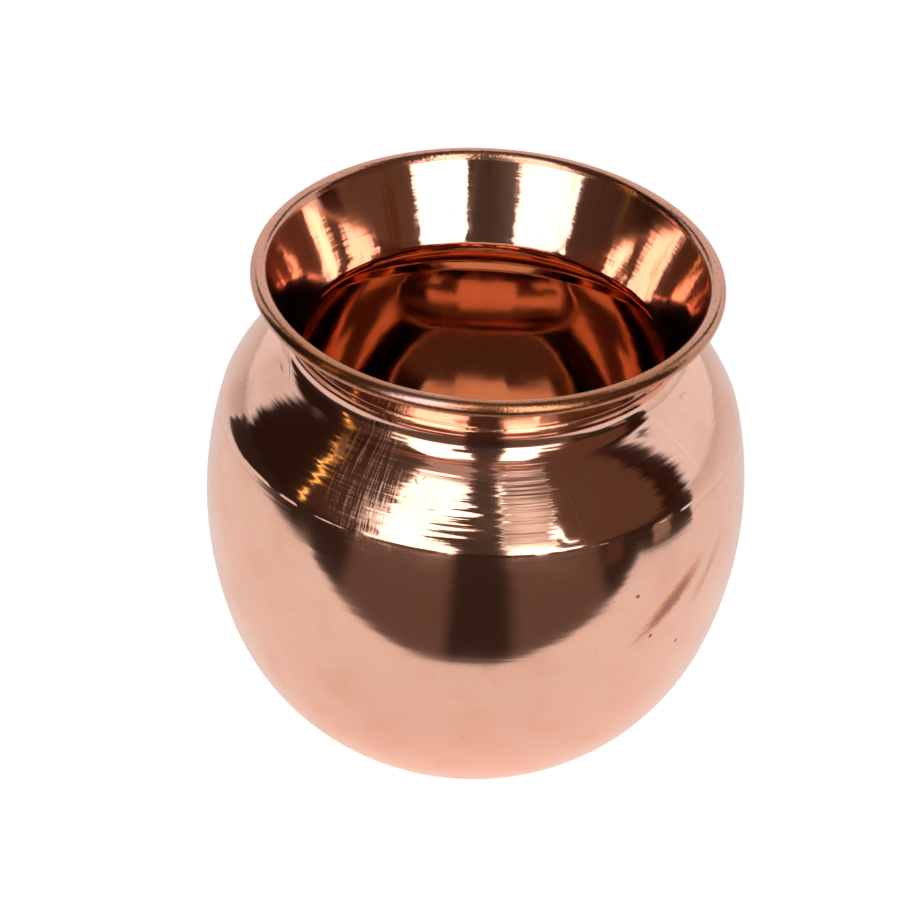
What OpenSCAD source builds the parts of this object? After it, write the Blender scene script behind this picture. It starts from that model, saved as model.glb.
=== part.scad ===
/* [Overall] */
// Diameter of the belly at its widest
belly_d = 128; // [120:1:140]
// Thickness of the spun copper sheet
sheet_t = 0.6; // [0.5:0.05:0.8]

/* [Mouth] */
// Height of the mouth, from the neck to the top of the rolled rim
mouth_h = 16; // [14:0.2:18]
// How far the throat lies in from the widest line of the belly
throat_inset = 21.75; // [20:0.25:24]
// How far the rim stands out beyond the throat
mouth_flare = 12.75; // [11:0.25:15]
// Diameter of the rolled bead round the mouth
bead_d = 4; // [3.5:0.1:4.5]
// Depth of the throat below the neck
throat_drop = 5; // [4.4:0.2:6.4]
// Radius of the belled tail that ends the collar inside the neck
tail_bell_r = 3; // [2:0.1:4]

/* [Shoulder] */
// Height of the shoulder, from the crease to the neck
shoulder_h = 20.6; // [18.6:0.2:23]
// Outer radius of the hollow bend of the neck
neck_bend_r = 5.4; // [4:0.1:6.4]
// Length of the neck lip that hugs the collar
neck_lip_l = 1.2; // [0.6:0.1:2]
// Angle that the sheet turns through at the crease
crease_turn = 6; // [4:0.1:8]
// Outer radius of the bend at the crease
crease_bend_r = 10; // [4:0.5:16]

/* [Bowl] */
// Height of the widest line of the belly above the foot
belly_h = 65; // [58:1:75]
// Height of the crease above the widest line of the belly
crease_rise = 24.6; // [22:0.2:28]
// Radius of the upright curve of the belly's flank
flank_r = 97; // [85:1:110]
// Depth below the widest line at which the flank gives way to the curve under the belly
under_drop = 31; // [26:0.5:36]
// Diameter of the flat foot that the vessel stands on
foot_d = 55; // [48:1:62]
// Outer radius of the bend between foot and belly
foot_bend_r = 6; // [3:0.5:9]

/* [Seams] */
// Gap that the brazing alloy fills between lapped sheets
braze_gap = 0.05; // [0.04:0.01:0.1]
// Distance from the crease bend down to the bowl's edge, over which the sheet steps inwards
joggle_l = 1.5; // [1:0.1:2.5]
// Length of the shoulder's skirt lapped inside the bowl
skirt_l = 4; // [2.5:0.5:7]
// Height of the brazed fillets in the corners of the seams
braze_leg = 0.4; // [0.3:0.05:0.6]
// Slit left between the curled edge of the rim and the collar
rim_slit = 0.15; // [0.05:0.05:0.4]
// Clearance round the wire inside the curl
wire_gap = 0.05; // [0.03:0.01:0.1]

/* [Hidden] */
$fn = 120;

copper = "#c98363";
braze = "#bd8a63";
steel = "#8f8f8f";

// Distance allowed between a chord and the arc that it stands for
chord_error = 0.01;
// Angle through which the collar's tail is belled outwards
tail_bell_angle = 45;

// Unit vector at an angle in the profile's plane, radius first and height second
function dir(a) = [cos(a), sin(a)];
// Angle of a vector in the profile's plane
function heading(v) = atan2(v[1], v[0]);
// Angle that a length takes up on a circle
function angle_of(l, r) = l / r * 180 / PI;
// Point at distance d1 from c1 and d2 from c2, to the left of the way from c1 to c2
function meet(c1, d1, c2, d2) =
    let (d = norm(c2 - c1), u = (c2 - c1) / d, along = (d1 * d1 - d2 * d2 + d * d) / (2 * d))
    c1 + u * along + [-u[1], u[0]] * sqrt(d1 * d1 - along * along);
// Radius of the arc that leaves point p square to the direction a and then touches
// the circle (c, r): with r above zero it holds that circle, with r below zero it runs outside it
function reach(p, a, c, r) =
    let (w = p - c)
    (w * w - r * r) / (2 * (w * dir(a) - r));
// Points along an arc, close enough together for the chord error
function arc(c, r, from, to) =
    let (n = max(2, ceil(abs(to - from) / (2 * acos(1 - chord_error / r)))))
    [for (i = [0:n]) c + r * dir(from + (to - from) * i / n)];
// A list in the opposite order
function back(list) = [for (i = [len(list) - 1:-1:0]) list[i]];

// Heights above the foot, each stacked on the one below it
neck_h = belly_h + crease_rise + shoulder_h;
kalash_h = neck_h + mouth_h;
throat_h = neck_h - throat_drop;

// Belly: flank, curve under it and foot bend, each running smoothly into the next
flank_c = [belly_d / 2 - flank_r, belly_h];
flank_end = -asin(under_drop / flank_r);
flank_foot = flank_c + flank_r * dir(flank_end);
foot_c = [foot_d / 2, foot_bend_r];
under_r = reach(flank_foot, flank_end, foot_c, foot_bend_r);
under_c = flank_foot - under_r * dir(flank_end);
foot_end = heading(foot_c - under_c);

// Mouth: a straight cone that runs smoothly into the rolled bead above and the belled tail below
throat_r = belly_d / 2 - throat_inset;
bead_r = bead_d / 2;
bead_c = [throat_r + mouth_flare - bead_r, kalash_h - bead_r];
tail_c = [throat_r + tail_bell_r, throat_h];
mouth_side = bead_c - tail_c;
cone_slope = atan2(mouth_side[0], mouth_side[1]) - asin((bead_r - tail_bell_r) / norm(mouth_side));
cone_up = [sin(cone_slope), cos(cone_slope)];
// Angle of the direction that is square to the cone and points into the mouth
cone_face = 180 - cone_slope;
cone_in = dir(cone_face);
cone_top = bead_c + bead_r * cone_in;
tail_edge = 180 + tail_bell_angle;
// The curl ends where its cut edge is one slit away from the back of the cone
curl_edge = cone_face - 360 + acos((bead_r - sheet_t - rim_slit) / bead_r);

// Neck: the shoulder's lip lies on the back of the cone, and a hollow bend joins it to the shoulder
neck_line = cone_top - (sheet_t + braze_gap + sheet_t + neck_bend_r) * cone_in;
neck_c = neck_line + cone_up * (neck_h - neck_line[1]) / cone_up[1];
lip_edge = neck_c + neck_bend_r * cone_in + neck_lip_l * cone_up;

// Shoulder: a gentle arc from the crease to the neck bend, blended into the flank by the crease bend
crease_angle = asin(crease_rise / flank_r);
crease_corner = flank_c + flank_r * dir(crease_angle);
shoulder_pitch = crease_angle + crease_turn;
shoulder_r = reach(crease_corner, shoulder_pitch, neck_c, -neck_bend_r);
shoulder_c = crease_corner - shoulder_r * dir(shoulder_pitch);
neck_end = 360 + heading(shoulder_c - neck_c);
crease_c = meet(flank_c, flank_r - crease_bend_r, shoulder_c, shoulder_r - crease_bend_r);
crease_top = heading(crease_c - shoulder_c);
crease_end = heading(crease_c - flank_c);

// Crease seam: the shoulder's skirt steps in by one sheet and the gap, and laps inside the bowl
seam_angle = crease_end - angle_of(joggle_l, flank_r);
skirt_top = seam_angle + angle_of(braze_gap, flank_r);
skirt_end = seam_angle - angle_of(skirt_l, flank_r);
skirt_r = flank_r - sheet_t - braze_gap;

// Lower body, spun as one cup: foot, belly and flank
module bowl() {
    outside = concat(
        arc(foot_c, foot_bend_r, -90, foot_end),
        arc(under_c, under_r, foot_end, flank_end),
        arc(flank_c, flank_r, flank_end, seam_angle));
    inside = concat(
        arc(foot_c, foot_bend_r - sheet_t, -90, foot_end),
        arc(under_c, under_r - sheet_t, foot_end, flank_end),
        arc(flank_c, flank_r - sheet_t, flank_end, seam_angle));
    color(copper) rotate_extrude() polygon(concat([[0, 0]], outside, back(inside), [[0, sheet_t]]));
}

// Upper body: neck lip, hollow bend, shoulder, crease and the skirt that laps inside the bowl
module shoulder() {
    outside = concat(
        [lip_edge],
        arc(neck_c, neck_bend_r, cone_face, neck_end),
        arc(shoulder_c, shoulder_r, neck_end - 180, crease_top),
        arc(crease_c, crease_bend_r, crease_top, crease_end),
        arc(flank_c, flank_r, crease_end, skirt_top),
        arc(flank_c, skirt_r, skirt_top, skirt_end));
    inside = concat(
        [lip_edge + sheet_t * cone_in],
        arc(neck_c, neck_bend_r + sheet_t, cone_face, neck_end),
        arc(shoulder_c, shoulder_r - sheet_t, neck_end - 180, crease_top),
        arc(crease_c, crease_bend_r - sheet_t, crease_top, crease_end),
        arc(flank_c, skirt_r - sheet_t, skirt_top, skirt_end));
    color(copper) rotate_extrude() polygon(concat(outside, back(inside)));
}

// Flared mouth: belled tail, straight cone and the rim curled over its wire
module collar() {
    face = concat(
        arc(tail_c, tail_bell_r, tail_edge, cone_face),
        arc(bead_c, bead_r, cone_face, curl_edge));
    reverse = concat(
        arc(tail_c, tail_bell_r - sheet_t, tail_edge, cone_face),
        arc(bead_c, bead_r - sheet_t, cone_face, curl_edge));
    color(copper) rotate_extrude() polygon(concat(face, back(reverse)));
}

// Wire inside the curl, which keeps the rim round
module rim_wire() {
    color(steel) rotate_extrude() translate(bead_c) circle(r = bead_r - sheet_t - wire_gap);
}

// Ring of alloy on the lip's edge, in the corner against the back of the collar
module neck_braze() {
    corner = lip_edge + (sheet_t + braze_gap) * cone_in;
    color(braze) rotate_extrude()
        polygon([corner, corner + braze_leg * cone_up, corner - braze_leg * cone_in]);
}

// Ring of alloy under the skirt's edge, in the corner against the inside of the bowl
module crease_braze() {
    wall_r = flank_r - sheet_t - chord_error;
    wall = arc(flank_c, wall_r, skirt_end, skirt_end - angle_of(braze_leg, flank_r));
    color(braze) rotate_extrude() polygon(concat(wall, [flank_c + (wall_r - braze_leg) * dir(skirt_end)]));
}

bowl();
shoulder();
collar();
rim_wire();
neck_braze();
crease_braze();
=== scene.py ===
import math

import bpy
import numpy as np
from mathutils import Matrix, Vector


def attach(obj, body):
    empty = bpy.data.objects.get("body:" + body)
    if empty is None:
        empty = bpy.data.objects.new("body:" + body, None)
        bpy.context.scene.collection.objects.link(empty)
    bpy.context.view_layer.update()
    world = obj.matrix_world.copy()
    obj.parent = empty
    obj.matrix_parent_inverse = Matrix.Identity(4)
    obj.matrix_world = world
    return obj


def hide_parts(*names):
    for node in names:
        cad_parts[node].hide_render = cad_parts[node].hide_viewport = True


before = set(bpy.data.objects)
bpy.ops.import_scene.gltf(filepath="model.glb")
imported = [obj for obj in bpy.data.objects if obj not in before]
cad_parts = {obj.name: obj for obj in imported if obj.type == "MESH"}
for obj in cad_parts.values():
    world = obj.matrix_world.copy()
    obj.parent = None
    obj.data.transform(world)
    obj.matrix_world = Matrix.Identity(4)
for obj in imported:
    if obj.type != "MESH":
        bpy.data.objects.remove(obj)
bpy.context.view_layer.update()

MM = 0.001

# Sizes of the pot in millimetres and degrees, as the construction has them
BELLY_D = 128.0
SHEET_T = 0.6
MOUTH_H = 16.0
THROAT_INSET = 21.75
MOUTH_FLARE = 12.75
BEAD_D = 4.0
THROAT_DROP = 5.0
TAIL_BELL_R = 3.0
TAIL_BELL_ANGLE = 45.0
SHOULDER_H = 20.6
NECK_BEND_R = 5.4
NECK_LIP_L = 1.2
CREASE_TURN = 6.0
CREASE_BEND_R = 10.0
BELLY_H = 65.0
CREASE_RISE = 24.6
FLANK_R = 97.0
UNDER_DROP = 31.0
FOOT_D = 55.0
FOOT_BEND_R = 6.0
BRAZE_GAP = 0.05
JOGGLE_L = 1.5
SKIRT_L = 4.0
RIM_SLIT = 0.15

# Fineness of the meshes: pieces round the pot, and millimetres between rings on curves, bends and the foot
AROUND = 360
RING_STEP = 0.9
BEND_STEP = 0.3
FOOT_STEP = 3.0

# Points of a profile closer than this many millimetres are one, and such a radius is on the axis
SAME_POINT = 1e-4
ON_AXIS = 1e-6

# Faces that meet at more than this angle in degrees have an edge between them
SHARP_ANGLE = 40.0


def unit(angle):
    """Unit vector at an angle in degrees in the profile's plane, radius first and height second."""
    return np.array([math.cos(math.radians(angle)), math.sin(math.radians(angle))])


def heading(v):
    """Angle of a vector in degrees."""
    return math.degrees(math.atan2(v[1], v[0]))


def meet(c1, d1, c2, d2):
    """Point at distance d1 from c1 and d2 from c2, to the left of the way from c1 to c2."""
    d = np.linalg.norm(c2 - c1)
    u = (c2 - c1) / d
    along = (d1 * d1 - d2 * d2 + d * d) / (2 * d)
    return c1 + u * along + np.array([-u[1], u[0]]) * math.sqrt(d1 * d1 - along * along)


def reach(p, angle, c, r):
    """Radius of the arc that leaves p square to the angle and then touches the circle (c, r)."""
    w = p - c
    return (w @ w - r * r) / (2 * (w @ unit(angle) - r))


def arc(c, r, start, end, step=RING_STEP):
    """Points on a circle from one angle to another, about one step of millimetres apart."""
    count = max(2, math.ceil(abs(math.radians(end - start)) * r / step))
    angles = np.radians(np.linspace(start, end, count + 1))
    return c + r * np.stack([np.cos(angles), np.sin(angles)], 1)


def line(p, q, step=RING_STEP):
    """Points strictly between p and q, about one step of millimetres apart."""
    count = max(1, math.ceil(np.linalg.norm(q - p) / step))
    return p + (q - p) * (np.arange(1, count) / count)[:, None]


def angle_of(length, r):
    """Angle in degrees that a length takes up on a circle."""
    return math.degrees(length / r)


# The profile, built up from the foot as the construction does
NECK_H = BELLY_H + CREASE_RISE + SHOULDER_H
KALASH_H = NECK_H + MOUTH_H
THROAT_H = NECK_H - THROAT_DROP

flank_c = np.array([BELLY_D / 2 - FLANK_R, BELLY_H])
flank_end = -math.degrees(math.asin(UNDER_DROP / FLANK_R))
flank_foot = flank_c + FLANK_R * unit(flank_end)
foot_c = np.array([FOOT_D / 2, FOOT_BEND_R])
under_r = reach(flank_foot, flank_end, foot_c, FOOT_BEND_R)
under_c = flank_foot - under_r * unit(flank_end)
foot_end = heading(foot_c - under_c)

throat_r = BELLY_D / 2 - THROAT_INSET
bead_r = BEAD_D / 2
bead_c = np.array([throat_r + MOUTH_FLARE - bead_r, KALASH_H - bead_r])
tail_c = np.array([throat_r + TAIL_BELL_R, THROAT_H])
mouth_side = bead_c - tail_c
cone_slope = math.degrees(
    math.atan2(mouth_side[0], mouth_side[1]) - math.asin((bead_r - TAIL_BELL_R) / np.linalg.norm(mouth_side))
)
cone_up = np.array([math.sin(math.radians(cone_slope)), math.cos(math.radians(cone_slope))])
cone_face = 180 - cone_slope
cone_in = unit(cone_face)
cone_top = bead_c + bead_r * cone_in
curl_edge = cone_face - 360 + math.degrees(math.acos((bead_r - SHEET_T - RIM_SLIT) / bead_r))

neck_line = cone_top - (SHEET_T + BRAZE_GAP + SHEET_T + NECK_BEND_R) * cone_in
neck_c = neck_line + cone_up * (NECK_H - neck_line[1]) / cone_up[1]
lip_edge = neck_c + NECK_BEND_R * cone_in + NECK_LIP_L * cone_up

crease_angle = math.degrees(math.asin(CREASE_RISE / FLANK_R))
crease_corner = flank_c + FLANK_R * unit(crease_angle)
shoulder_pitch = crease_angle + CREASE_TURN
shoulder_r = reach(crease_corner, shoulder_pitch, neck_c, -NECK_BEND_R)
shoulder_c = crease_corner - shoulder_r * unit(shoulder_pitch)
neck_end = 360 + heading(shoulder_c - neck_c)
crease_c = meet(flank_c, FLANK_R - CREASE_BEND_R, shoulder_c, shoulder_r - CREASE_BEND_R)
crease_top = heading(crease_c - shoulder_c)
crease_end = heading(crease_c - flank_c)
crease_low = float(crease_c[1] + CREASE_BEND_R * math.sin(math.radians(crease_end)))
seam_angle = crease_end - angle_of(JOGGLE_L, FLANK_R)
skirt_top = seam_angle + angle_of(BRAZE_GAP, FLANK_R)
skirt_end = seam_angle - angle_of(SKIRT_L, FLANK_R)
skirt_r = FLANK_R - SHEET_T - BRAZE_GAP


def join(*runs):
    """Runs of profile points in one array, with points that repeat left out."""
    points = np.concatenate([np.atleast_2d(run) for run in runs])
    apart = np.linalg.norm(np.diff(points, axis=0), axis=1) > SAME_POINT
    return points[np.concatenate([[True], apart])]


def bowl_profile():
    """The bowl's section, from the middle of the foot's underside round the edge to its middle inside.

    Each profile function gives its points, and whether the last one joins the first.
    """
    outside = join(
        line(np.array([0.0, 0.0]), foot_c - [0, FOOT_BEND_R], FOOT_STEP),
        arc(foot_c, FOOT_BEND_R, -90, foot_end, BEND_STEP * 2),
        arc(under_c, under_r, foot_end, flank_end),
        arc(flank_c, FLANK_R, flank_end, seam_angle),
    )
    inside = join(
        line(np.array([0.0, SHEET_T]), foot_c - [0, FOOT_BEND_R - SHEET_T], FOOT_STEP),
        arc(foot_c, FOOT_BEND_R - SHEET_T, -90, foot_end, BEND_STEP * 2),
        arc(under_c, under_r - SHEET_T, foot_end, flank_end, 2 * RING_STEP),
        arc(flank_c, FLANK_R - SHEET_T, flank_end, seam_angle, 2 * RING_STEP),
    )
    return join([0.0, 0.0], outside, inside[::-1], [0.0, SHEET_T]), False


def shoulder_profile():
    """The shoulder's section, a closed loop: lip, neck bend, shoulder, crease and skirt, and back inside."""
    outside = join(
        lip_edge,
        arc(neck_c, NECK_BEND_R, cone_face, neck_end, BEND_STEP),
        arc(shoulder_c, shoulder_r, neck_end - 180, crease_top, RING_STEP / 2),
        arc(crease_c, CREASE_BEND_R, crease_top, crease_end, BEND_STEP / 2),
        arc(flank_c, FLANK_R, crease_end, skirt_top, BEND_STEP),
        arc(flank_c, skirt_r, skirt_top, skirt_end),
    )
    inside = join(
        lip_edge + SHEET_T * cone_in,
        arc(neck_c, NECK_BEND_R + SHEET_T, cone_face, neck_end, BEND_STEP * 2),
        arc(shoulder_c, shoulder_r - SHEET_T, neck_end - 180, crease_top),
        arc(crease_c, CREASE_BEND_R - SHEET_T, crease_top, crease_end, BEND_STEP),
        arc(flank_c, skirt_r - SHEET_T, skirt_top, skirt_end),
    )
    return join(outside, inside[::-1]), True


def collar_profile():
    """The collar's section, a closed loop: tail, cone and rolled bead, and back on the other face."""
    face = join(
        arc(tail_c, TAIL_BELL_R, 180 + TAIL_BELL_ANGLE, cone_face, BEND_STEP),
        line(tail_c + TAIL_BELL_R * cone_in, cone_top, RING_STEP / 2),
        arc(bead_c, bead_r, cone_face, curl_edge, BEND_STEP / 2),
    )
    reverse = join(
        arc(tail_c, TAIL_BELL_R - SHEET_T, 180 + TAIL_BELL_ANGLE, cone_face, BEND_STEP),
        line(tail_c + (TAIL_BELL_R - SHEET_T) * cone_in, cone_top - SHEET_T * cone_in, RING_STEP / 2),
        arc(bead_c, bead_r - SHEET_T, cone_face, curl_edge, BEND_STEP),
    )
    return join(face, reverse[::-1]), True


def revolve(name, profile, closed, body, slot, material, replaced):
    """A surface of revolution: a profile point (r, h) goes to (r cos a, r sin a, h) for a row of angles a.

    The distance along the profile is kept in the attribute "along", in millimetres.
    """
    around = np.radians(np.arange(AROUND) * 360 / AROUND)
    rings = profile[profile[:, 0] >= ON_AXIS]
    count = len(rings)
    radius, height = rings[:, 0][:, None], rings[:, 1][:, None]
    grid = np.stack(
        [radius * np.cos(around), radius * np.sin(around), np.broadcast_to(height, (count, AROUND))], -1
    )
    points = grid.reshape(-1, 3)
    steps = np.linalg.norm(np.diff(rings, axis=0), axis=1)
    along = np.repeat(np.concatenate([[0], np.cumsum(steps)]), AROUND)
    ring = np.arange(count if closed else count - 1)[:, None]
    here = np.arange(AROUND)[None]
    there = (here + 1) % AROUND
    above = (ring + 1) % count
    quads = np.stack(
        [ring * AROUND + here, ring * AROUND + there, above * AROUND + there, above * AROUND + here], -1
    ).reshape(-1, 4)
    faces = [quads]
    if not closed:
        start, end = len(points), len(points) + 1
        points = np.concatenate([points, [[0, 0, profile[0, 1]], [0, 0, profile[-1, 1]]]])
        along = np.concatenate([along, [along[0], along[-1]]])
        last_ring = (count - 1) * AROUND
        faces.append(np.stack([np.full(AROUND, start), there[0], here[0]], -1))
        faces.append(np.stack([np.full(AROUND, end), last_ring + here[0], last_ring + there[0]], -1))
    mesh = bpy.data.meshes.new(name)
    sizes = np.concatenate([np.full(len(f), f.shape[1]) for f in faces])
    corners = np.concatenate([f.ravel() for f in faces])
    mesh.vertices.add(len(points))
    mesh.vertices.foreach_set("co", (points * MM).ravel())
    mesh.loops.add(len(corners))
    mesh.loops.foreach_set("vertex_index", corners)
    mesh.polygons.add(len(sizes))
    mesh.polygons.foreach_set("loop_start", np.concatenate([[0], np.cumsum(sizes)[:-1]]))
    mesh.update(calc_edges=True)
    mesh.attributes.new("along", "FLOAT", "POINT").data.foreach_set("value", along)
    mesh.polygons.foreach_set("use_smooth", np.ones(len(sizes), bool))
    mesh.set_sharp_from_angle(angle=math.radians(SHARP_ANGLE))
    mesh.materials.append(material)
    piece = bpy.data.objects.new(name, mesh)
    bpy.context.scene.collection.objects.link(piece)
    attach(piece, body)
    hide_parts(replaced)


def linear(code):
    """A sRGB hex colour as linear red, green, blue and alpha."""
    parts = [int(code[i : i + 2], 16) / 255 for i in (1, 3, 5)]
    return [c / 12.92 if c <= 0.04045 else ((c + 0.055) / 1.055) ** 2.4 for c in parts] + [1.0]


def add(tree, kind, inputs=None, **settings):
    """Adds a node with its settings, and fills its inputs with values, or links from sockets or nodes."""
    made = tree.nodes.new(kind)
    for name, value in settings.items():
        setattr(made, name, value)
    for key, value in (inputs or {}).items():
        if isinstance(value, bpy.types.Node):
            value = value.outputs[0]
        if isinstance(value, bpy.types.NodeSocket):
            tree.links.new(value, made.inputs[key])
        else:
            made.inputs[key].default_value = value
    return made


# Kinds of node that are used again and again
MATH = "ShaderNodeMath"
VECTOR = "ShaderNodeVectorMath"
RANGE = "ShaderNodeMapRange"
MIX = "ShaderNodeMix"
XYZ = "ShaderNodeCombineXYZ"
SPLIT = "ShaderNodeSeparateXYZ"
NOISE = "ShaderNodeTexNoise"

SMOOTH = "SMOOTHSTEP"
UPRIGHT = (0.0, 0.0, 1.0)
WHITE = (1.0, 1.0, 1.0, 1.0)

# A noise texture lies about its middle, and mostly within its swing of it
NOISE_MIDDLE = 0.5
NOISE_SWING = 0.25

# Below this cosine between its normal and the way out from the axis, a face belongs to the pot's inside
INWARD = -0.02

# Blur of the fine marks across them: its share, and the quarter turn that sets it square to the way round
ANISOTROPY = 0.5
ACROSS_MARKS = 0.25


def windowed(tree, value, low, high, soft, soft_high=None):
    """1 where a value lies between two limits, 0 elsewhere, with soft edges.

    The softness is half of an edge's width, and the high edge may have its own.
    """
    fade = soft if soft_high is None else soft_high
    rise = add(tree, RANGE, {
        "Value": value, "From Min": low - soft, "From Max": low + soft,
    }, interpolation_type=SMOOTH)
    fall = add(tree, RANGE, {
        "Value": value, "From Min": high - fade, "From Max": high + fade, "To Min": 1.0, "To Max": 0.0,
    }, interpolation_type=SMOOTH)
    return add(tree, MATH, {0: rise, 1: fall}, operation="MULTIPLY")


def azimuth_of(tree, x, y):
    """Azimuth in degrees from the front, where the camera is, to the right of it."""
    back = add(tree, MATH, {0: y, 1: -1.0}, operation="MULTIPLY")
    turn = add(tree, MATH, {0: x, 1: back}, operation="ARCTAN2")
    return add(tree, MATH, {0: turn}, operation="DEGREES")


class Surface:
    """Places and directions on a round piece, and the patterns that its materials are made of.

    The place, the height and the way along the profile are in mm, and the azimuth in degrees from the
    front. The hollow is 1 on the inside of the pot and 0 on its outside.
    """

    def __init__(self, tree):
        self.tree = tree
        metres = add(tree, "ShaderNodeTexCoord").outputs["Object"]
        self.place = add(tree, VECTOR, {0: metres, "Scale": 1 / MM}, operation="SCALE")
        x, y, self.height = add(tree, SPLIT, {0: self.place}).outputs
        self.azimuth = azimuth_of(tree, x, y)
        self.along = add(tree, "ShaderNodeAttribute", attribute_name="along").outputs["Fac"]
        self.normal = add(tree, "ShaderNodeNewGeometry").outputs["Normal"]
        self.outward = add(tree, VECTOR, {0: add(tree, XYZ, {"X": x, "Y": y})}, operation="NORMALIZE")
        self.way_round = add(tree, VECTOR, {0: UPRIGHT, 1: self.outward}, operation="CROSS_PRODUCT")
        self.way_up = add(tree, VECTOR, {0: self.normal, 1: self.way_round}, operation="CROSS_PRODUCT")
        facing = add(tree, VECTOR, {0: self.normal, 1: self.outward}, operation="DOT_PRODUCT")
        self.hollow = add(tree, MATH, {0: facing.outputs["Value"], 1: INWARD}, operation="LESS_THAN")

    def marks(self, apart, span, shift=0.0, detail=2.0):
        """Noise about zero, drawn out round the pot.

        Its marks lie a distance apart along the profile and span a distance round the belly, both in mm.
        """
        tree = self.tree
        wide = add(tree, VECTOR, {0: self.outward, "Scale": BELLY_D / 2 / span}, operation="SCALE")
        rings = add(tree, MATH, {0: self.along, 1: apart}, operation="DIVIDE")
        lift = add(tree, XYZ, {"X": shift, "Z": rings})
        where = add(tree, VECTOR, {0: wide, 1: lift}, operation="ADD")
        noise = add(tree, NOISE, {"Vector": where, "Scale": 1.0, "Detail": detail})
        return add(tree, MATH, {0: noise, 1: NOISE_MIDDLE}, operation="SUBTRACT")

    def streaks(self, per_degree, per_mm, detail):
        """Noise about zero, drawn out up and down, as fine as its counts per degree round and per mm up."""
        tree = self.tree
        turned = add(tree, MATH, {0: self.azimuth, 1: per_degree}, operation="MULTIPLY")
        raised = add(tree, MATH, {0: self.height, 1: per_mm}, operation="MULTIPLY")
        where = add(tree, XYZ, {"X": turned, "Y": raised})
        noise = add(tree, NOISE, {"Vector": where, "Scale": 1.0, "Detail": detail})
        return add(tree, MATH, {0: noise, 1: NOISE_MIDDLE}, operation="SUBTRACT")

    def grain(self, size, shift=0.0, detail=3.0):
        """Noise about zero that is alike in every direction, with grains of a size in mm."""
        tree = self.tree
        where = add(tree, VECTOR, {0: self.place, 1: (shift, 2 * shift, 0.0)}, operation="ADD")
        noise = add(tree, NOISE, {"Vector": where, "Scale": 1 / size, "Detail": detail})
        return add(tree, MATH, {0: noise, 1: NOISE_MIDDLE}, operation="SUBTRACT")

    def blot(self, azimuth, height, half_round, half_up, slant=0.0, rag=0.3, soft=0.5, size=1.0):
        """A patch with a value of 1 inside and 0 outside, ragged by noise.

        Its middle is an azimuth in degrees and a height in mm, its half sizes likewise, and the slant is
        in degrees of azimuth per mm of height. The edge is ragged and soft by shares of the half sizes,
        with noise grains of a size in mm.
        """
        tree = self.tree
        up = add(tree, MATH, {0: self.height, 1: height}, operation="SUBTRACT")
        lean = add(tree, MATH, {0: up, 1: -slant, 2: self.azimuth}, operation="MULTIPLY_ADD")
        side = add(tree, MATH, {0: lean, 1: azimuth}, operation="SUBTRACT")
        place = add(tree, XYZ, {
            "X": add(tree, MATH, {0: side, 1: half_round}, operation="DIVIDE"),
            "Y": add(tree, MATH, {0: up, 1: half_up}, operation="DIVIDE"),
        })
        away = add(tree, VECTOR, {0: place}, operation="LENGTH").outputs["Value"]
        noise = self.grain(size, azimuth)
        torn = add(tree, MATH, {0: noise, 1: rag / NOISE_SWING, 2: away}, operation="MULTIPLY_ADD")
        return add(tree, RANGE, {
            "Value": torn, "From Min": 1.0 - soft, "From Max": 1.0 + soft, "To Min": 1.0, "To Max": 0.0,
        }, interpolation_type=SMOOTH)

    def strip(self, across, sides, heights, soft_sides, soft_ends):
        """1 between two values of what runs across and between two heights in mm, 0 elsewhere."""
        beside = windowed(self.tree, across, *sides, soft_sides)
        level = windowed(self.tree, self.height, *heights, soft_ends)
        return add(self.tree, MATH, {0: beside, 1: level}, operation="MULTIPLY")

    def total(self, terms, base=0.0):
        """Sum of terms and a base: a term is one value or more, multiplied, and their weight."""
        for value, *others, weight in terms:
            for other in others:
                value = add(self.tree, MATH, {0: value, 1: other}, operation="MULTIPLY")
            base = add(self.tree, MATH, {0: value, 1: weight, 2: base}, operation="MULTIPLY_ADD")
        return base

    def tilt(self, up, side):
        """The normal turned by slopes up along the profile and round the pot."""
        tree = self.tree
        rise = add(tree, VECTOR, {0: self.way_up, "Scale": up}, operation="SCALE")
        swing = add(tree, VECTOR, {0: self.way_round, "Scale": side}, operation="SCALE")
        both = add(tree, VECTOR, {0: rise, 1: swing}, operation="ADD")
        turned = add(tree, VECTOR, {0: self.normal, 1: both}, operation="ADD")
        return add(tree, VECTOR, {0: turned}, operation="NORMALIZE")

    def tint(self, base, stains):
        """A colour with stains laid over it one by one: each is a mask, its strength and a colour."""
        tree = self.tree
        for mask, strength, colour in stains:
            part = add(tree, MATH, {0: mask, 1: strength}, operation="MULTIPLY", use_clamp=True)
            mixed = add(tree, MIX, {"Factor": part, "A": base, "B": linear(colour)}, data_type="RGBA")
            base = mixed.outputs["Result"]
        return base

    def metal(self, colour, up, side, roughness):
        """The finished metal, with its normal tilted by two slopes and the blur of marks across them."""
        tree = self.tree
        tangent = add(tree, "ShaderNodeTangent", direction_type="RADIAL", axis="Z")
        shader = add(tree, "ShaderNodeBsdfPrincipled", {
            "Base Color": colour, "Metallic": 1.0, "Roughness": roughness, "Anisotropic": ANISOTROPY,
            "Anisotropic Rotation": ACROSS_MARKS, "Tangent": tangent, "Normal": self.tilt(up, side),
        })
        add(tree, "ShaderNodeOutputMaterial", {"Surface": shader})


def new_material(name):
    """An empty material, and the places on the surface that its patterns use."""
    material = bpy.data.materials.new(name)
    material.use_nodes = True
    material.node_tree.nodes.clear()
    return material, Surface(material.node_tree)


# Colour of the clean copper
COPPER = "#f8c5b0"

# Heights in mm between which the belly's marks give way to the shoulder's
MARKS_CHANGE = (86.0, 92.0)

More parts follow.
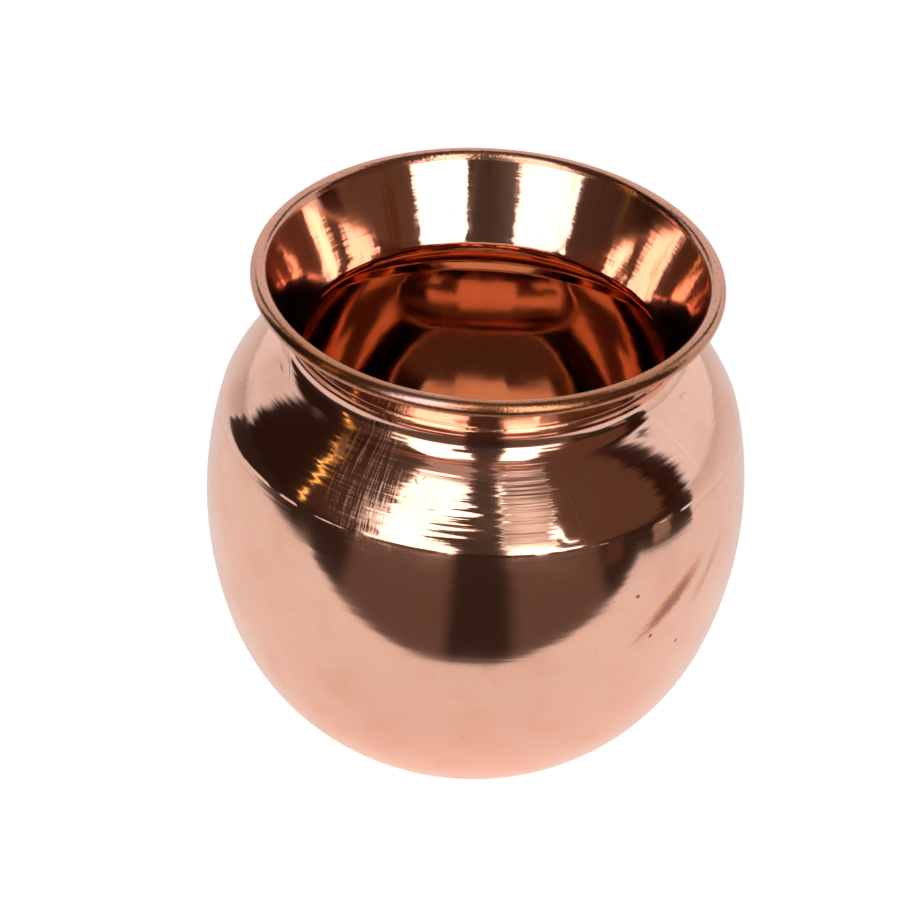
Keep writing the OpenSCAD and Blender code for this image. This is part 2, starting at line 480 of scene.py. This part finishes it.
# Parts of the shoulder that differ, in azimuths in degrees and heights in mm: a brushed patch, a strip of
# coarser marks under the neck and a patch that was pressed flatter
BRUSHED_AZIMUTHS = (6.5, 18.0)
BRUSHED_HEIGHTS = (91.2, 105.4)
COARSE_AZIMUTHS = (-24.0, 19.5)
COARSE_HEIGHTS = (103.4, 106.4)
FLAT_AZIMUTHS = (20.0, 31.0)
FLAT_HEIGHTS = (90.6, 99.0)

# Height in mm of the narrow fold that runs along the low side of the crease
FOLD_H = 0.5

# Slopes on the inside, which is smoother, as a share of those on the outside
INSIDE_SLOPES = 0.2

# Stains, pits and scratches of the spun sheet: the blot, its strength and its colour. A blot's numbers are
# azimuth, height, half sizes round and up, slant, rag, softness and grain.
STAINS = [
    # Two reddish stains at the left of the shoulder, and a bluish line at the neck above them
    ((-77.0, 95.5, 7.0, 3.6, 0.0, 0.35, 0.6, 2.0), 0.35, "#b0705c"),
    ((-68.0, 104.0, 9.0, 3.2, 0.0, 0.35, 0.8, 2.0), 0.2, "#b87c68"),
    ((-70.8, 107.1, 0.5, 1.2, -3.84, 0.1), 0.75, "#8c84a0"),
    # Heat stain at the right of the belly: its orange field, its grey core and its two dark sides
    ((46.8, 67.2, 3.2, 5.2, 1.14, 0.3, 0.7, 0.8), 0.95, "#c46c36"),
    ((46.6, 66.9, 1.3, 3.8, 1.14, 0.35, 0.6, 0.7), 0.6, "#8d8c9c"),
    ((44.0, 65.0, 0.22, 6.4, 1.3, 0.1), 0.55, "#8a4c34"),
    ((49.6, 68.0, 0.22, 6.0, 1.3, 0.1), 0.45, "#8a4c34"),
    # Faint stain beside it
    ((59.0, 68.5, 1.7, 5.2, 0.89, 0.3, 0.8), 0.38, "#b06c50"),
    # Three pits round it
    ((37.0, 73.0, 0.5, 0.5, 0.0, 0.1), 0.8, "#5a3226"),
    ((41.3, 59.8, 0.5, 0.5, 0.0, 0.1), 0.8, "#5a3226"),
    ((50.1, 53.1, 0.5, 0.5, 0.0, 0.1), 0.7, "#5a3226"),
    # Two long scratches on the right of the shoulder: real scratches, painted near white as painted
    # highlights along them
    ((23.2, 96.8, 0.16, 6.2, -0.246, 0.1), 0.5, "#fff0e8"),
    ((58.0, 99.8, 0.28, 8.8, -0.39, 0.1), 0.4, "#fbe0d4"),
]


def spun_copper():
    """Copper sheet spun over a form and polished: ring marks tear its reflections, and it has stains."""
    material, s = new_material("spun_copper_polished")
    tree = s.tree

    # Marks that the patterns below are made of. A polish leaves rings too fine to show, and so the finest are
    # drawn 0.35 mm apart.
    ring_fine = s.marks(apart=0.35, span=30.0, shift=3.0)
    ring_wide = s.marks(apart=1.5, span=90.0, shift=11.0)
    tooth = s.marks(apart=0.9, span=70.0, shift=23.0, detail=3.0)
    streak = s.streaks(per_degree=1.6, per_mm=0.12, detail=2.0)
    wave = s.grain(size=16.0, shift=5.0, detail=1.0)
    dent = s.grain(size=5.0, shift=9.0, detail=1.0)
    side_dent = s.grain(size=4.0, shift=31.0)

    # Parts of the shoulder, each 1 inside and 0 outside
    upper = add(tree, RANGE, {
        "Value": s.height, "From Min": MARKS_CHANGE[0], "From Max": MARKS_CHANGE[1],
    })
    torn = s.total([(s.marks(apart=0.5, span=50.0, shift=41.0), 9.0), (s.azimuth, 1.0)])
    brushed = s.strip(torn, BRUSHED_AZIMUTHS, BRUSHED_HEIGHTS, soft_sides=0.8, soft_ends=1.2)
    coarse = s.strip(s.azimuth, COARSE_AZIMUTHS, COARSE_HEIGHTS, soft_sides=1.0, soft_ends=0.5)
    flat = s.strip(s.azimuth, FLAT_AZIMUTHS, FLAT_HEIGHTS, soft_sides=1.5, soft_ends=1.2)
    woven = s.blot(azimuth=-28.0, height=99.0, half_round=9.0, half_up=11.0, slant=-0.3, rag=0.1)
    teeth = s.blot(azimuth=-6.0, height=95.8, half_round=7.0, half_up=4.2, rag=0.2)
    fold = windowed(tree, s.height, crease_low, crease_low + FOLD_H, soft=0.2)
    gaps = s.grain(size=9.0, shift=17.0)
    broken = add(tree, RANGE, {"Value": gaps, "From Min": -0.1, "From Max": 0.1})

    # Slopes of the marks, part by part, and with them the slopes of the whole along the profile and round
    fine_slope = s.total([
        (upper, 0.03), (brushed, 1.6), (coarse, 0.3), (teeth, 0.25), (woven, 0.05),
    ], 0.03)
    tooth_slope = s.total([(upper, 0.05), (teeth, 0.7), (woven, 0.04)], 0.05)
    up = s.total([
        (ring_wide, 0.035), (ring_fine, fine_slope, 1.0), (wave, 0.03), (dent, s.hollow, 0.03),
        (fold, broken, -0.3), (flat, 0.12),
    ])
    side = s.total([
        (tooth, tooth_slope, 1.0), (streak, woven, 0.03), (wave, 0.02), (side_dent, s.hollow, 0.03),
    ])
    smooth = s.total([(s.hollow, INSIDE_SLOPES - 1.0)], 1.0)
    up = add(tree, MATH, {0: up, 1: smooth}, operation="MULTIPLY")
    side = add(tree, MATH, {0: side, 1: smooth}, operation="MULTIPLY")

    # Tarnish in clouds, fine pits, and a mottled place under the neck
    clouds = s.grain(size=11.0, shift=2.0, detail=4.0)
    cloud = add(tree, RANGE, {"Value": clouds, "From Min": -0.02, "From Max": 0.2})
    specks = s.grain(size=0.55, shift=4.0, detail=1.0)
    speck = add(tree, RANGE, {"Value": specks, "From Min": 0.22, "From Max": 0.27})
    bruises = s.grain(size=1.6, shift=8.0, detail=4.0)
    bruise = add(tree, RANGE, {"Value": bruises, "From Min": 0.08, "From Max": 0.2})
    bruised = s.blot(azimuth=-15.5, height=101.4, half_round=4.5, half_up=3.2)
    mottle = add(tree, MATH, {0: bruised, 1: bruise}, operation="MULTIPLY")
    colour = s.tint(linear(COPPER), [
        (cloud, 0.35, "#eea88c"),
        (speck, 0.55, "#7a4636"),
        (mottle, 0.9, "#b56a40"),
        (brushed, 0.9, "#a27c6c"),
        *[(s.blot(*patch), strength, stain) for patch, strength, stain in STAINS],
        # Painted shade: the pot's inside is painted darker and more orange, standing in for the light that
        # bounces round inside it
        (s.hollow, 1.0, "#e9ae8c"),
    ])
    # The woven patch is dull along its crossing scratches
    thread = s.total([(streak, 4.0), (ring_fine, 2.5)], 0.25)
    thread = add(tree, MATH, {0: thread, 1: 0.0}, operation="MAXIMUM")
    roughness = s.total([
        (brushed, 0.22), (cloud, 0.04), (mottle, 0.12), (woven, thread, 0.3), (s.hollow, -0.05),
    ], 0.10)
    s.metal(colour, up, side, roughness)
    return material


# Parts of the mouth: how far its bead reaches beyond its own radius, in mm, the azimuths in degrees between
# which the bead's front is rougher and painted darker and browner, as painted shade, and the heights in mm
# between which the inside starts to wobble
BEAD_MARGIN = 0.12
ROUGH_AND_PAINTED_SHADE_AZIMUTHS = (-62.0, 62.0)
WOBBLE_HEIGHTS = (112.0, 106.0)


def turned_copper():
    """The mouth: bright inside, with streaks up and down it, and a duller bead whose front is painted darker
    and browner as painted shade.
    """
    material, s = new_material("turned_copper_polished")
    tree = s.tree
    around = add(tree, VECTOR, {0: s.place, 1: (0.0, 0.0, bead_c[1])}, operation="SUBTRACT")
    ring = add(tree, VECTOR, {0: s.outward, "Scale": float(bead_c[0])}, operation="SCALE")
    off = add(tree, VECTOR, {0: around, 1: ring}, operation="SUBTRACT")
    off = add(tree, VECTOR, {0: off}, operation="LENGTH").outputs["Value"]
    bead = add(tree, MATH, {0: off, 1: bead_r + BEAD_MARGIN}, operation="LESS_THAN")
    front = windowed(tree, s.azimuth, *ROUGH_AND_PAINTED_SHADE_AZIMUTHS, soft=14.0)
    # Front of the bead: rougher, and its colour there is painted shade
    front_rough_and_painted_shade = add(tree, MATH, {0: bead, 1: front}, operation="MULTIPLY")
    low = add(tree, RANGE, {
        "Value": s.height, "From Min": WOBBLE_HEIGHTS[0], "From Max": WOBBLE_HEIGHTS[1],
    })

    streak = s.streaks(per_degree=0.55, per_mm=0.1, detail=4.0)
    grit = s.grain(size=0.5, shift=3.0, detail=2.0)
    wobble = s.grain(size=3.5, shift=6.0)
    up = s.total([
        (s.marks(apart=0.6, span=40.0, shift=5.0), 0.02), (grit, bead, 0.22), (wobble, low, 0.10),
        (s.grain(size=9.0, shift=1.0, detail=1.0), 0.02),
    ])
    side = s.total([
        (streak, 0.05), (s.marks(apart=0.5, span=30.0, shift=9.0), 0.04), (grit, bead, 0.2),
        (wobble, low, 0.14),
    ])

    pit = add(tree, RANGE, {"Value": s.grain(size=0.7, shift=8.0), "From Min": 0.10, "From Max": 0.2})
    bead_pit = add(tree, MATH, {0: bead, 1: pit}, operation="MULTIPLY")
    pit_and_painted_front_shade = add(tree, MATH, {0: front_rough_and_painted_shade, 1: pit}, operation="MULTIPLY")
    dust = add(tree, RANGE, {"Value": streak, "From Min": 0.08, "From Max": 0.2})
    # Painted reflections: two golden streaks inside the back of the mouth, as a warm light would show there
    painted_golden_reflection_wide = s.blot(azimuth=-149.6, height=114.0, half_round=1.3, half_up=8.0, rag=0.4, soft=0.8)
    painted_golden_reflection_thin = s.blot(azimuth=-147.4, height=113.0, half_round=0.5, half_up=7.0, rag=0.4, soft=0.8)
    # A bluish-white patch on the top of the bead's front
    bluish_patch = s.blot(azimuth=-15.0, height=125.3, half_round=8.0, half_up=0.8, rag=0.2, soft=0.7)
    colour = s.tint(linear(COPPER), [
        (dust, 0.35, "#d58a5c"),
        (painted_golden_reflection_wide, 0.75, "#e58a45"),
        (painted_golden_reflection_thin, 0.6, "#e58a45"),
        (bead, 0.8, "#cf927a"),
        (bead_pit, 0.55, "#8a5340"),
        # Painted shade: the bead's front painted darker and browner, its pits darker still
        (front_rough_and_painted_shade, 0.85, "#bf7f58"),
        (pit_and_painted_front_shade, 0.6, "#74452c"),
        (bluish_patch, 0.35, "#c9c6d8"),
    ])
    s.metal(colour, up, side, s.total([(bead, 0.10), (front_rough_and_painted_shade, 0.06)], 0.09))
    return material


def brazing_alloy():
    """Copper-phosphorus alloy, ground off and polished over: yellower than the sheet, and finely pitted."""
    material, s = new_material("brazing_alloy_ground")
    pores = add(s.tree, RANGE, {"Value": s.grain(size=0.3, shift=2.0), "From Min": 0.1, "From Max": 0.2})
    colour = s.tint(linear("#efb898"), [(pores, 0.6, "#7d5038")])
    up = s.total([(s.grain(size=0.4, shift=1.0), 0.2)])
    side = s.total([(s.grain(size=0.6, shift=5.0), 0.2)])
    s.metal(colour, up, side, 0.2)
    return material


def drawn_steel():
    """Plain drawn wire: grey, with fine dark marks."""
    material, s = new_material("steel_wire_drawn")
    fine = s.grain(size=0.4, shift=2.0)
    dark = add(s.tree, RANGE, {"Value": fine, "From Min": 0.05, "From Max": 0.2})
    colour = s.tint(linear("#a9a7a3"), [(dark, 0.5, "#6d6a66")])
    s.metal(colour, s.total([(fine, 0.1)]), 0.0, 0.3)
    return material


body_copper = spun_copper()
mouth_copper = turned_copper()
revolve("bowl_sheet", *bowl_profile(), "root", "copper_body", body_copper, "bowl")
revolve("shoulder_sheet", *shoulder_profile(), "root", "copper_body", body_copper, "shoulder")
revolve("collar_sheet", *collar_profile(), "root", "copper_collar", mouth_copper, "collar")
alloy = brazing_alloy()
for node_name, coat in (("neck_braze", alloy), ("crease_braze", alloy), ("rim_wire", drawn_steel())):
    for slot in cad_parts[node_name].material_slots:
        slot.material = coat


# Camera, as fitted to the pot's outline, with lengths in mm and angles in degrees. The middle of the bead's
# circle falls on AIM_PIXEL, counted across and down from the upper left corner.
CAMERA_DISTANCE = 1000.0
CAMERA_PITCH = 35.5557
CAMERA_ROLL = -3.4039
FOCAL_PIXELS = 4333.71
FRAME_PIXELS = 914
SENSOR = 36.0
AIM_PIXEL = (488.381, 277.06)

# Furthest that the camera sees, in metres
SIGHT = 100.0


def set_camera():
    """The camera stands where the bead's centre falls on AIM_PIXEL."""
    pitch, roll = math.radians(CAMERA_PITCH), math.radians(CAMERA_ROLL)
    forward = Vector((0, math.cos(pitch), -math.sin(pitch)))
    level = Vector((1, 0, 0))
    upright = level.cross(forward)
    right = math.cos(roll) * level - math.sin(roll) * upright
    up = math.sin(roll) * level + math.cos(roll) * upright
    middle = FRAME_PIXELS / 2
    across = (AIM_PIXEL[0] - middle) / FOCAL_PIXELS
    rise = -(AIM_PIXEL[1] - middle) / FOCAL_PIXELS
    aim = Vector((0, 0, KALASH_H - bead_r))
    stand = aim - CAMERA_DISTANCE * (across * right + rise * up + forward)
    data = bpy.data.cameras.new("camera")
    data.sensor_width = SENSOR
    data.lens = FOCAL_PIXELS / FRAME_PIXELS * SENSOR
    data.clip_end = SIGHT
    camera = bpy.data.objects.new("camera", data)
    turn = Matrix((right, up, -forward)).transposed().to_4x4()
    camera.matrix_world = Matrix.Translation(stand * MM) @ turn
    bpy.context.scene.collection.objects.link(camera)
    bpy.context.scene.camera = camera


set_camera()

# Distances in metres of the light boxes and of the cards close to the pot, the height in metres that their
# elevations are taken from, and their colours
BOX_FAR = 1.3
CARD_FAR = 0.3
EYE_HEIGHT = 0.1
BOX_COLOUR = "#fffaf2"
SPILL_COLOUR = "#f0d8cc"
GAP_COLOUR = "#ffcc70"

# Glowing panels: name, strength, colour, distance, and corners as azimuth and elevation in degrees. The
# notches in the boxes' outlines are those of the reflections in the copper.
PANELS = [
    ("soft_box_left", 2.6, BOX_COLOUR, BOX_FAR, [
        (-44, -7), (-7, -7), (-7, 10), (-14, 12), (-14, 22), (-3, 25), (-4, 54),
        (-37, 54), (-37, 20), (-46, 18.5), (-46, 14), (-37, 12.5), (-37, 3), (-44, 2),
    ]),
    ("soft_box_right", 3.2, BOX_COLOUR, BOX_FAR, [
        (14, -6), (43, -6), (43, 2), (32, 4), (32, 12.5),
        (43, 14.5), (43, 18), (33, 19.5), (33, 54), (14, 54),
    ]),
    ("spill_left", 0.5, SPILL_COLOUR, BOX_FAR, [(-40, 56), (-4, 56), (-4, 78), (-40, 78)]),
    ("spill_right", 0.5, SPILL_COLOUR, BOX_FAR, [(14, 56), (36, 56), (36, 78), (14, 78)]),
    ("card_pale", 0.37, "#e6c8b0", CARD_FAR, [(71, -18), (79.5, -18), (79.5, -9), (71, -9)]),
    ("card_brown", 0.2, "#b08068", CARD_FAR, [(50, -17), (57, -17), (57, -7), (50, -7)]),
    ("gap_in_curtain_low", 2.4, GAP_COLOUR, BOX_FAR, [(-73.4, 0), (-71.4, 0), (-71.2, 8), (-73.0, 8)]),
    ("gap_in_curtain_middle", 2.6, GAP_COLOUR, BOX_FAR, [(-73, 14), (-71.2, 14), (-75, 36), (-77, 36)]),
    ("gap_in_curtain_high", 2.2, GAP_COLOUR, BOX_FAR, [(-77, 36), (-75, 36), (-85, 46), (-87, 46)]),
]


def light_panel(name, strength, colour, far, corners):
    """A glowing panel that lights the pot and shows in its reflections, but not to the camera."""
    rows = []
    for azimuth, elevation in corners:
        a, e = math.radians(azimuth), math.radians(elevation)
        rows.append((far * math.sin(a), -far * math.cos(a), EYE_HEIGHT + far * math.tan(e)))
    mesh = bpy.data.meshes.new(name)
    mesh.from_pydata(rows, [], [tuple(range(len(rows)))])
    glow = bpy.data.materials.new(name)
    glow.use_nodes = True
    glow.node_tree.nodes.clear()
    light = add(glow.node_tree, "ShaderNodeEmission", {"Color": linear(colour), "Strength": strength})
    add(glow.node_tree, "ShaderNodeOutputMaterial", {"Surface": light})
    mesh.materials.append(glow)
    panel = bpy.data.objects.new(name, mesh)
    panel.visible_camera = False
    bpy.context.scene.collection.objects.link(panel)


for row in PANELS:
    light_panel(*row)

# The room's walls round the pot: azimuth in degrees, colour there and how bright it is
ROOM = [
    (-180, "#ffffff", 0.90),
    (-118, "#ffffff", 0.80),
    (-114, "#6a4a38", 0.15),
    (-84, "#6a4a38", 0.15),
    (-60, "#c09078", 0.13),
    (-46, "#b89078", 0.15),
    (-4, "#a08878", 0.17),
    (14, "#a08878", 0.17),
    (46, "#c89878", 0.20),
    (82, "#c89878", 0.20),
    (85, "#804838", 0.13),
    (96, "#804838", 0.13),
    (99, "#ffffff", 0.85),
    (180, "#ffffff", 0.90),
]

# Where the walls end, as the height of a direction of length 1: their top, what it gains behind the pot
# between two azimuths, and dark zones lower down, each between two azimuths and from a height to their top
WALL_TOP = 0.87
BACK_WALL_GAIN = 0.035
BACK_WALL = (150.0, 190.0)
DARK_ZONES = ((104.0, 130.0, 0.62), (130.0, 150.0, 0.37))
DARK_ZONE_TOP = 0.735

# Softness of those edges, in degrees and in height
AZIMUTH_SOFT = 1.5
ZONE_SOFT = 0.015
TOP_SOFT = 0.02

# Dark of the ceiling and the zones in linear light, in front of the pot and behind it, and the directions'
# y between which one goes over into the other
DARK_FRONT = (0.10, 0.07, 0.055, 1.0)
DARK_BEHIND = (0.085, 0.07, 0.06, 1.0)
FRONT_TO_BEHIND = (-0.1, 0.2)


def set_world():
    """The room's walls by azimuth, dark zones and a dark ceiling, and plain white for the camera."""
    world = bpy.data.worlds.new("studio")
    bpy.context.scene.world = world
    world.use_nodes = True
    tree = world.node_tree
    tree.nodes.clear()
    way = add(tree, "ShaderNodeTexCoord").outputs["Generated"]
    x, y, z = add(tree, SPLIT, {0: way}).outputs
    azimuth = azimuth_of(tree, x, y)
    share = add(tree, RANGE, {"Value": azimuth, "From Min": -180.0, "From Max": 180.0})
    ramp = add(tree, "ShaderNodeValToRGB", {0: share})
    stops = ramp.color_ramp.elements
    stops.remove(stops[1])
    for number, (angle, colour, level) in enumerate(ROOM):
        position = (angle + 180) / 360
        stop = stops[0] if number == 0 else stops.new(position)
        stop.position = position
        stop.color = [part * level for part in linear(colour)[:3]] + [1.0]
    aside = add(tree, MATH, {0: azimuth}, operation="ABSOLUTE")
    back = windowed(tree, aside, *BACK_WALL, AZIMUTH_SOFT)
    top = add(tree, MATH, {0: back, 1: BACK_WALL_GAIN, 2: WALL_TOP}, operation="MULTIPLY_ADD")
    above = add(tree, MATH, {0: z, 1: top}, operation="SUBTRACT")
    dark = add(tree, RANGE, {
        "Value": above, "From Min": -TOP_SOFT, "From Max": TOP_SOFT,
    }, interpolation_type=SMOOTH)
    for near, far, bottom in DARK_ZONES:
        turned = windowed(tree, aside, near, far, AZIMUTH_SOFT)
        band = windowed(tree, z, bottom, DARK_ZONE_TOP, ZONE_SOFT)
        dark = add(tree, MATH, {0: turned, 1: band, 2: dark}, operation="MULTIPLY_ADD", use_clamp=True)
    behind = add(tree, RANGE, {
        "Value": y, "From Min": FRONT_TO_BEHIND[0], "From Max": FRONT_TO_BEHIND[1],
    }, interpolation_type=SMOOTH)
    shade = add(tree, MIX, {"Factor": behind, "A": DARK_FRONT, "B": DARK_BEHIND}, data_type="RGBA")
    seen = add(tree, MIX, {"Factor": dark, "A": ramp, "B": shade.outputs["Result"]}, data_type="RGBA")
    rays = add(tree, "ShaderNodeLightPath").outputs["Is Camera Ray"]
    final = add(tree, MIX, {"Factor": rays, "A": seen.outputs["Result"], "B": WHITE}, data_type="RGBA")
    light = add(tree, "ShaderNodeBackground", {"Color": final.outputs["Result"], "Strength": 1.0})
    add(tree, "ShaderNodeOutputWorld", {0: light})


set_world()

# The white sheet under the pot, in metres: its front, right and left edges. Towards the front the left edge
# slants in, and x there is y times a slope plus an offset. Behind the sheet the floor is white beyond both
# of two lines, on which y is x times a slope plus an offset.
FLOOR_HALF = 6.0
SHEET_FRONT = -0.128
SHEET_RIGHT = 0.265
SHEET_LEFT = -0.31
LEFT_LINE = (-0.816, -0.344)
BACKDROP_LINES = ((-0.53, 0.034), (0.148, -0.035))

# Brightness of the sheet for other rays and what the camera's rays add, and that of the table beside the
# sheet and the painted light it gains, in pools where the boxes shine on it, between azimuths in degrees with
# soft ends
SHEET_GLOW = 0.32
SHEET_GLOW_GAIN = 0.37
TABLE_GLOW = 0.014
TABLE_GLOW_GAIN = 0.095
LIT_AZIMUTHS = ((-46, -7), (15, 49))
LIT_SOFT = (4.0, 3.0)


def make_floor():
    """A pale floor; in reflections it ends at the edge of the sheet that the pot stands on."""
    half = FLOOR_HALF
    mesh = bpy.data.meshes.new("floor")
    corners = [(-half, -half, 0), (half, -half, 0), (half, half, 0), (-half, half, 0)]
    mesh.from_pydata(corners, [], [(0, 1, 2, 3)])
    cover = bpy.data.materials.new("matt_white_sheet")
    cover.use_nodes = True
    tree = cover.node_tree
    tree.nodes.clear()
    place = add(tree, "ShaderNodeTexCoord").outputs["Object"]
    x, y = add(tree, SPLIT, {0: place}).outputs[:2]
    slanting = add(tree, MATH, {0: y, 1: LEFT_LINE[0], 2: LEFT_LINE[1]}, operation="MULTIPLY_ADD")
    left_edge = add(tree, MATH, {0: slanting, 1: SHEET_LEFT}, operation="MAXIMUM")
    front = add(tree, MATH, {0: y, 1: SHEET_FRONT}, operation="GREATER_THAN")
    left = add(tree, MATH, {0: x, 1: left_edge}, operation="GREATER_THAN")
    right = add(tree, MATH, {0: x, 1: SHEET_RIGHT}, operation="LESS_THAN")
    sides = add(tree, MATH, {0: left, 1: right}, operation="MULTIPLY")
    near = add(tree, MATH, {0: front, 1: sides}, operation="MULTIPLY")
    back_left, back_right = [
        add(tree, MATH, {0: x, 1: slope, 2: offset}, operation="MULTIPLY_ADD")
        for slope, offset in BACKDROP_LINES
    ]
    backdrop = add(tree, MATH, {0: back_left, 1: back_right}, operation="MAXIMUM")
    far = add(tree, MATH, {0: y, 1: backdrop}, operation="GREATER_THAN")
    sheet = add(tree, MATH, {0: near, 1: far}, operation="MAXIMUM")
    azimuth = azimuth_of(tree, x, y)
    # Painted light: warm pools on the table in the azimuths of the light boxes
    lit_left, lit_right = [windowed(tree, azimuth, *ends, *LIT_SOFT) for ends in LIT_AZIMUTHS]
    lit = add(tree, MATH, {0: lit_left, 1: lit_right}, operation="ADD")
    rays = add(tree, "ShaderNodeLightPath").outputs["Is Camera Ray"]
    shown = add(tree, MATH, {0: sheet, 1: rays}, operation="MAXIMUM")
    colours = {"Factor": shown, "A": linear("#302420"), "B": linear("#f2f2f2")}
    colour = add(tree, MIX, colours, data_type="RGBA").outputs["Result"]
    matt = add(tree, "ShaderNodeBsdfDiffuse", {"Color": colour})
    table = add(tree, MATH, {0: lit, 1: TABLE_GLOW_GAIN, 2: TABLE_GLOW}, operation="MULTIPLY_ADD")
    white = add(tree, MATH, {0: rays, 1: SHEET_GLOW_GAIN, 2: SHEET_GLOW}, operation="MULTIPLY_ADD")
    strength = add(tree, MIX, {"Factor": shown, "A": table, "B": white}, data_type="FLOAT")
    tones = {"Factor": shown, "A": linear("#ffd8c0"), "B": WHITE}
    tone = add(tree, MIX, tones, data_type="RGBA").outputs["Result"]
    glow = add(tree, "ShaderNodeEmission", {"Color": tone, "Strength": strength})
    both = add(tree, "ShaderNodeAddShader", {0: matt, 1: glow})
    add(tree, "ShaderNodeOutputMaterial", {"Surface": both})
    mesh.materials.append(cover)
    floor = bpy.data.objects.new("floor", mesh)
    bpy.context.scene.collection.objects.link(floor)


make_floor()
bpy.context.scene.view_settings.view_transform = "Standard"
